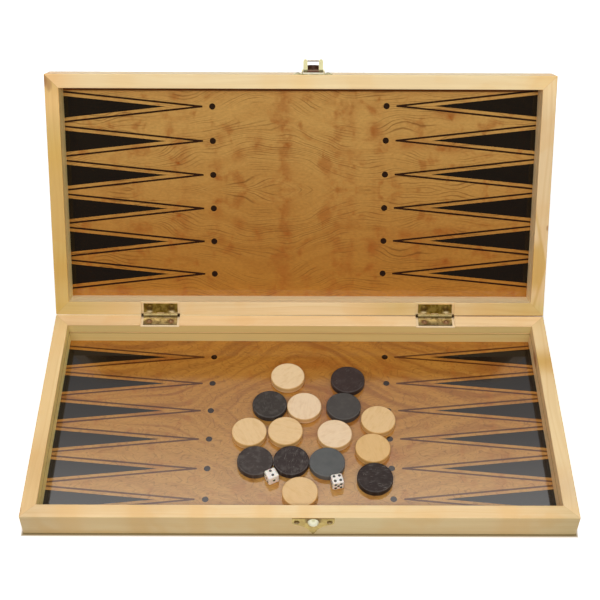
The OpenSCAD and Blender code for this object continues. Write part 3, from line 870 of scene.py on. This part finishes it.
def paint_metal():
    paint(catch_metal(), "catch_plate")
    paint(hasp_metal(), "hasp")
    paint(metal("latch_brass", LATCH_TONES, 0.4, 0.3), "latch_plate")
    paint(clasp_screw_metal("catch_screw_brown", False, SCREW_OLIVE), "catch_screws")
    paint(clasp_screw_metal("latch_screw_grey", True, LATCH_SCREW), "latch_screws")
    paint(screw_metal("lower_screw_brown", False), "hinge_screws_lower")
    paint(screw_metal("lid_screw_brown", True), "hinge_screws_lid")
    lower_leaf = hinge_metal("lower_leaf_brass", LEAF_TONES, False)
    lid_leaf = hinge_metal("lid_leaf_brass", LID_LEAF_TONES, True)
    pin = metal("pin_brown", PIN_BROWN, 0.5, 0.4)
    for side in ("left", "right"):
        paint(lower_leaf, side + "_hinge_lower_leaf")
        paint(lid_leaf, side + "_hinge_lid_leaf")
        paint(pin, side + "_hinge_pin")
    paint(metal("steel", BAR_STEEL, 0.3, 0.3), "hasp_bar", "hasp_pin")


# Checkers

CREAM = srgb(240, 212, 176)
OAT = srgb(238, 208, 164)
STRAW = srgb(235, 200, 150)
CORN = srgb(231, 195, 143)
HONEY = srgb(226, 186, 128)
SIDE_HONEY = srgb(200, 150, 76)
LIGHT_TONES = [OAT, CREAM, STRAW, STRAW, CREAM, CORN, HONEY, CORN]

# for scratches, worn clouds and a painted highlight on the rim
CHAR_WEAR_AND_HIGHLIGHT = srgb(128, 122, 116)
# Tone of each dark checker, and how scratched and how clouded it is
DARK_TONES = [
    (srgb(50, 37, 34), 0.2, 0.1),
    (srgb(56, 50, 46), 0.3, 0.3),
    (srgb(70, 66, 63), 0.15, 0.15),
    (srgb(62, 54, 51), 0.45, 0.4),
    (srgb(50, 41, 39), 0.7, 0.35),
    (srgb(92, 93, 92), 0.1, 0.1),
    (srgb(42, 32, 29), 0.9, 0.15),
]
_, CHECKER_R = span_x("light_checker_1")
# How far the grain is turned from one checker to the next, in radians
LIGHT_TURN = 0.7
DARK_TURN = 0.9
# Patterns in the checkers: the length of their features in millimetres, along
# and across the grain, and how detailed they are
LIGHT_PATTERNS = {
    "bend": ((30, 12, 1), 1.0),
    "rings": ((2.6, 40, 1), 2.0),
    "fleck": ((2.4, 0.4, 1), 2.0),
    "cloud": ((6, 4, 1), 2.0),
}
LIGHT_BEND = 14
LIGHT_RELIEF = 0.02
DARK_PATTERNS = {
    "bend": ((16, 16, 1), 2.0),
    "streak": ((5, 0.7, 1), 3.0),
    "cross": ((4, 0.6, 1), 2.0),
    "rubbed": ((6, 6, 1), 2.0),
    "worn": ((5, 5, 1), 3.0),
    "cloud": ((9, 9, 1), 2.0),
}
STREAK_BEND = 8
CROSS_BEND = 6
DARK_RELIEF = 0.05


def around(s, name):
    """Place on a checker in millimetres from its foot's centre, and the distance from its axis."""
    low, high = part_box(name)
    centre = (low + high) / 2 / MM
    x, y, z = s.place()
    x = x - centre.x
    y = y - centre.y
    return x, y, z - low.z / MM, s.length(x, y)


def grain_turned(x, y, angle):
    """Coordinates along and across a grain that runs at an angle to X."""
    cosine, sine = math.cos(angle), math.sin(angle)
    return x * cosine + y * sine, y * cosine - x * sine


def light_wood(name, tone, seed):
    s = Surface(name)
    x, y, z, radius = around(s, name)
    along, across = grain_turned(x, y, LIGHT_TURN * seed)
    bend = s.noise((along, across, seed), *LIGHT_PATTERNS["bend"]) - 0.5
    rings = s.noise((across + bend * LIGHT_BEND, along, seed), *LIGHT_PATTERNS["rings"])
    fleck = s.noise((along, across, z / 0.8 + seed), *LIGHT_PATTERNS["fleck"])
    cloud = s.noise((along, across, seed + 7), *LIGHT_PATTERNS["cloud"])
    colour = s.mix(s.smooth(rings + cloud, 0.9, 1.3) * 0.22, tone, SIDE_HONEY)
    side = s.smooth(radius, CHECKER_R - 0.9, CHECKER_R - 0.1)
    colour = s.mix(side * (s.smooth(z, 0.6, 3.0) * 0.45 + 0.3), colour, SIDE_HONEY)
    colour = s.scaled(colour, 0.93 + fleck * 0.14)
    return s.finish(colour, 0.36 + fleck * 0.1, ior=1.3, height=fleck, depth=LIGHT_RELIEF)


def dark_wood(name, tone, scratched, clouded, seed):
    s = Surface(name)
    x, y, z, radius = around(s, name)
    along, across = grain_turned(x, y, DARK_TURN * seed)
    bend = s.noise((along, across, seed), *DARK_PATTERNS["bend"]) - 0.5
    streak = s.noise((along, across + bend * STREAK_BEND, seed), *DARK_PATTERNS["streak"])
    cross = s.noise((across, along + bend * CROSS_BEND, seed + 3), *DARK_PATTERNS["cross"])
    rubbed = s.smooth(s.noise((x, y, seed), *DARK_PATTERNS["rubbed"]), 0.4, 0.6)
    marks = (s.smooth(streak, 0.56, 0.72) + s.smooth(cross, 0.64, 0.76)) * rubbed * scratched
    worn = s.smooth(s.noise((x, y, seed + 5), *DARK_PATTERNS["worn"]), 0.46, 0.68) * clouded
    top_edge = s.hump(radius, CHECKER_R - 0.45, 0.35) * s.smooth(z, 3.9, 4.6)
    # painted highlight on the front half of the top rim
    edge = top_edge * s.smooth(y, 1, -8) * 0.2
    colour = s.mix(s.clamp(marks + edge + worn * 0.5), tone, CHAR_WEAR_AND_HIGHLIGHT)
    cloud = s.noise((x, y, z / 9 + seed), *DARK_PATTERNS["cloud"])
    colour = s.scaled(colour, 0.75 + cloud * 0.5)
    return s.finish(colour, 0.3 + streak * 0.16, ior=1.2, height=streak, depth=DARK_RELIEF)


def paint_checkers():
    for i, tone in enumerate(LIGHT_TONES, start=1):
        name = f"light_checker_{i}"
        paint(light_wood(name, tone, i), name)
    for i, (tone, scratched, clouded) in enumerate(DARK_TONES, start=1):
        name = f"dark_checker_{i}"
        paint(dark_wood(name, tone, scratched, clouded, i), name)


# Dice

DIE_ROUND = 1.5 * MM
PIP_R = 1.12 * MM
PIP_STEP = 2.05 * MM
PIP_DEEP = 0.35 * MM
DIE_CELLS = 40
DIE_WELD = 0.002 * MM
DIE_WHITE = srgb(240, 233, 224)
DIE_PIP = srgb(14, 10, 9)
DIE_GLOW = 0.15
DIE_GLOW_REACH = 0.5 * MM
# Turn in degrees and the values on the top, the front and the right
DICE = {"die_1": (27, 2, 1, 4), "die_2": (12, 4, 5, 1)}


def pips(value):
    """Places of the pips on a face, in steps from its centre."""
    corners = [(-1, -1), (1, 1), (-1, 1), (1, -1)]
    middle = [(0, 0)] if value % 2 else []
    if value == 2:
        return [(0, -1), (0, 1)]
    if value == 6:
        return corners + [(-1, 0), (1, 0)]
    return corners[:value - len(middle)] + middle


def die_point(face, a, b, half, marks):
    """Point of a die's face at a and b, and its distance from the nearest pip's edge."""
    flat = Vector((a, b, half))
    core = Vector([max(-half + DIE_ROUND, min(half - DIE_ROUND, c)) for c in flat])
    point = core + (flat - core).normalized() * DIE_ROUND
    away = min(math.hypot(a - p * PIP_STEP, b - q * PIP_STEP) for p, q in marks)
    if away < PIP_R:
        point.z -= PIP_DEEP * math.sqrt(1 - (away / PIP_R) ** 2)
    return face @ point, away - PIP_R


def die_mesh(half, top, front, side):
    """Six gridded faces, welded into one mesh that knows how far each point is from a pip."""
    faces = [(0, "X", top), (180, "X", 7 - top), (90, "X", front), (-90, "X", 7 - front),
             (90, "Y", side), (-90, "Y", 7 - side)]
    mesh = bmesh.new()
    to_pip = mesh.verts.layers.float.new("to_pip")
    steps = [half * (2 * i / DIE_CELLS - 1) for i in range(DIE_CELLS + 1)]
    for angle, axis, value in faces:
        face = Matrix.Rotation(math.radians(angle), 3, axis)
        grid = []
        for a in steps:
            for b in steps:
                place, away = die_point(face, a, b, half, pips(value))
                vertex = mesh.verts.new(place)
                vertex[to_pip] = away / MM
                grid.append(vertex)
        for row in range(DIE_CELLS):
            for column in range(DIE_CELLS):
                first = row * (DIE_CELLS + 1) + column
                next_row = first + DIE_CELLS + 1
                mesh.faces.new((grid[first], grid[next_row], grid[next_row + 1], grid[first + 1]))
    bmesh.ops.remove_doubles(mesh, verts=mesh.verts, dist=DIE_WELD)
    for polygon in mesh.faces:
        polygon.smooth = True
    return mesh


def make_die(name, material, turn, top, front, side):
    """Moulded die with round edges and hollow pips, in place of the CAD die."""
    low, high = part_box(name)
    mesh = die_mesh((high.z - low.z) / 2, top, front, side)
    data = bpy.data.meshes.new(name + "_moulded")
    mesh.to_mesh(data)
    mesh.free()
    data.materials.append(material)
    piece = bpy.data.objects.new(name + "_moulded", data)
    bpy.context.scene.collection.objects.link(piece)
    turned = Matrix.Rotation(math.radians(turn), 4, "Z")
    piece.matrix_world = Matrix.Translation((low + high) / 2) @ turned
    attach(piece, name)
    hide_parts(name)


def die_plastic():
    s = Surface("die_plastic")
    away = Value(s, s.node("Attribute", attribute_name="to_pip").outputs["Fac"])
    cloud = s.noise(s.place(), (4, 4, 4), detail=3.0)
    colour = s.mix(s.smooth(away, 0.03, -0.05), DIE_WHITE, DIE_PIP)
    s.put(s.shader.inputs["Subsurface Weight"], DIE_GLOW)
    s.put(s.shader.inputs["Subsurface Scale"], DIE_GLOW_REACH)
    return s.finish(s.scaled(colour, 0.95 + cloud * 0.1), 0.25 + cloud * 0.1)


def make_dice():
    plastic = die_plastic()
    for name, values in DICE.items():
        make_die(name, plastic, *values)


# Studio

FLOOR_HALF = 6.0
FLOOR_DROP = 0.2 * MM
# Level of the table for the camera and for reflections, and for the light it sends back
FLOOR_SEEN = 1.8
FLOOR_BOUNCE = 0.22
# Distance from the box, in metres, over which the table turns into an even white
FLOOR_FAR = (0.4, 1.0)
# The table's colour right at the box's foot, and how far the contact shadow reaches in millimetres
CONTACT = srgb(122, 104, 70)
CONTACT_W = (0.2, 3.2)
WHITE = srgb(255, 255, 255)
# Light on matt surfaces from below the horizon and from straight above
WORLD_LOW = 0.14
WORLD_HIGH = 0.5
WORLD_RISE = (-0.2, 1.0)
# What reflections see, by the angle over the top from the horizon behind the
# box to the one in front: degrees and level
ROOM = [(0, 0.6), (48.4, 0.6), (51.0, 1.35), (51.9, 1.55), (53.3, 2.0), (54.7, 3.1), (56.2, 4.6),
        (57.2, 5.0), (60, 4.4), (82, 4.4), (105, 0.12), (180, 0.12)]
ROOM_TOP = 5.0
# Soft light over the camera: its place and size in metres, the point it is aimed at,
# and its light on a surface that faces it, white being 1
KEY_AT = Vector((-0.1, -1.35, 1.78))
KEY_SIZE = (2.2, 0.45)
KEY_AIM = Vector((0, 0.06, 0.05))
KEY_LEVEL = 0.62


def make_world():
    """White to the camera, an even light, and for reflections a room with a bright ceiling."""
    world = bpy.data.worlds.new("studio")
    bpy.context.scene.world = world
    graph = Graph(world)
    path = graph.node("LightPath")
    seen = Value(graph, path.outputs["Is Camera Ray"])
    glossy = Value(graph, path.outputs["Is Glossy Ray"])
    _, y, z = graph.split(graph.node("TexCoord").outputs["Generated"])
    over = graph.math("ARCTAN2", z, y) * (1 / math.pi)
    ramp = graph.node("ValToRGB", {"Fac": over})
    points = ramp.color_ramp.elements
    while len(points) < len(ROOM):
        points.new(0.5)
    for point, (angle, level) in zip(points, ROOM):
        point.position = angle / 180
        point.color = [level / ROOM_TOP] * 3 + [1.0]
    room = Value(graph, ramp.outputs["Color"]) * ROOM_TOP
    plain = graph.smooth(z, *WORLD_RISE) * (WORLD_HIGH - WORLD_LOW) + WORLD_LOW
    strength = seen + (1 - seen) * (glossy * room + (1 - glossy) * plain)
    back = graph.node("Background", {"Color": (1, 1, 1, 1), "Strength": strength})
    graph.node("OutputWorld", {"Surface": back.outputs[0]})


def table_white():
    """White table that keeps the box's shadow and glows evenly further out."""
    material = bpy.data.materials.new("white_table")
    graph = Graph(material)
    path = graph.node("LightPath")
    camera = Value(graph, path.outputs["Is Camera Ray"])
    seen = graph.clamp(camera + Value(graph, path.outputs["Is Glossy Ray"]))
    level = seen * (FLOOR_SEEN - FLOOR_BOUNCE) + FLOOR_BOUNCE
    x, y, _ = graph.split(graph.node("TexCoord").outputs["Object"])
    gap = graph.larger(abs(x) / MM - RIM_X, abs(y) / MM - RIM_Y)
    colour = graph.mix(graph.smooth(gap, *CONTACT_W), CONTACT, WHITE)
    matt = graph.node("BsdfDiffuse", {"Color": graph.scaled(colour, level)})
    glow = graph.node("Emission", {"Color": (1, 1, 1, 1), "Strength": level})
    far = graph.smooth(graph.length(x, y), *FLOOR_FAR)
    blend = graph.node("MixShader", {0: far, 1: matt.outputs[0], 2: glow.outputs[0]})
    graph.node("OutputMaterial", {"Surface": blend.outputs[0]})
    return material


def make_floor():
    data = bpy.data.meshes.new("floor")
    signs = [(-1, -1), (1, -1), (1, 1), (-1, 1)]
    corners = [(right * FLOOR_HALF, back * FLOOR_HALF, -FLOOR_DROP) for right, back in signs]
    data.from_pydata(corners, [], [(0, 1, 2, 3)])
    data.materials.append(table_white())
    floor = bpy.data.objects.new("floor", data)
    bpy.context.scene.collection.objects.link(floor)


def make_light():
    light = bpy.data.lights.new("key", "AREA")
    light.shape = "RECTANGLE"
    light.size, light.size_y = KEY_SIZE
    aim = KEY_AIM - KEY_AT
    light.energy = KEY_LEVEL * math.pi ** 2 * aim.length_squared
    lamp = bpy.data.objects.new("key", light)
    bpy.context.scene.collection.objects.link(lamp)
    turned = aim.to_track_quat("-Z", "Y").to_matrix().to_4x4()
    lamp.matrix_world = Matrix.Translation(KEY_AT) @ turned


def make_camera():
    lens = bpy.data.cameras.new("camera")
    lens.sensor_width = SENSOR_MM
    lens.lens = FOCAL_PX / PHOTO_SIZE * SENSOR_MM
    camera = bpy.data.objects.new("camera", lens)
    bpy.context.scene.collection.objects.link(camera)
    camera.matrix_world = (Matrix.Translation(CAMERA_AT) @ Matrix.Rotation(CAMERA_TURN, 4, "Z")
                           @ Matrix.Rotation(math.pi / 2 - CAMERA_DOWN, 4, "X")
                           @ Matrix.Rotation(CAMERA_ROLL, 4, "Z"))
    bpy.context.scene.camera = camera


make_camera()
make_world()
make_floor()
make_light()
bpy.context.scene.view_settings.view_transform = "Standard"

paint_rails()
paint_panels()
paint_metal()
paint_checkers()
make_dice()
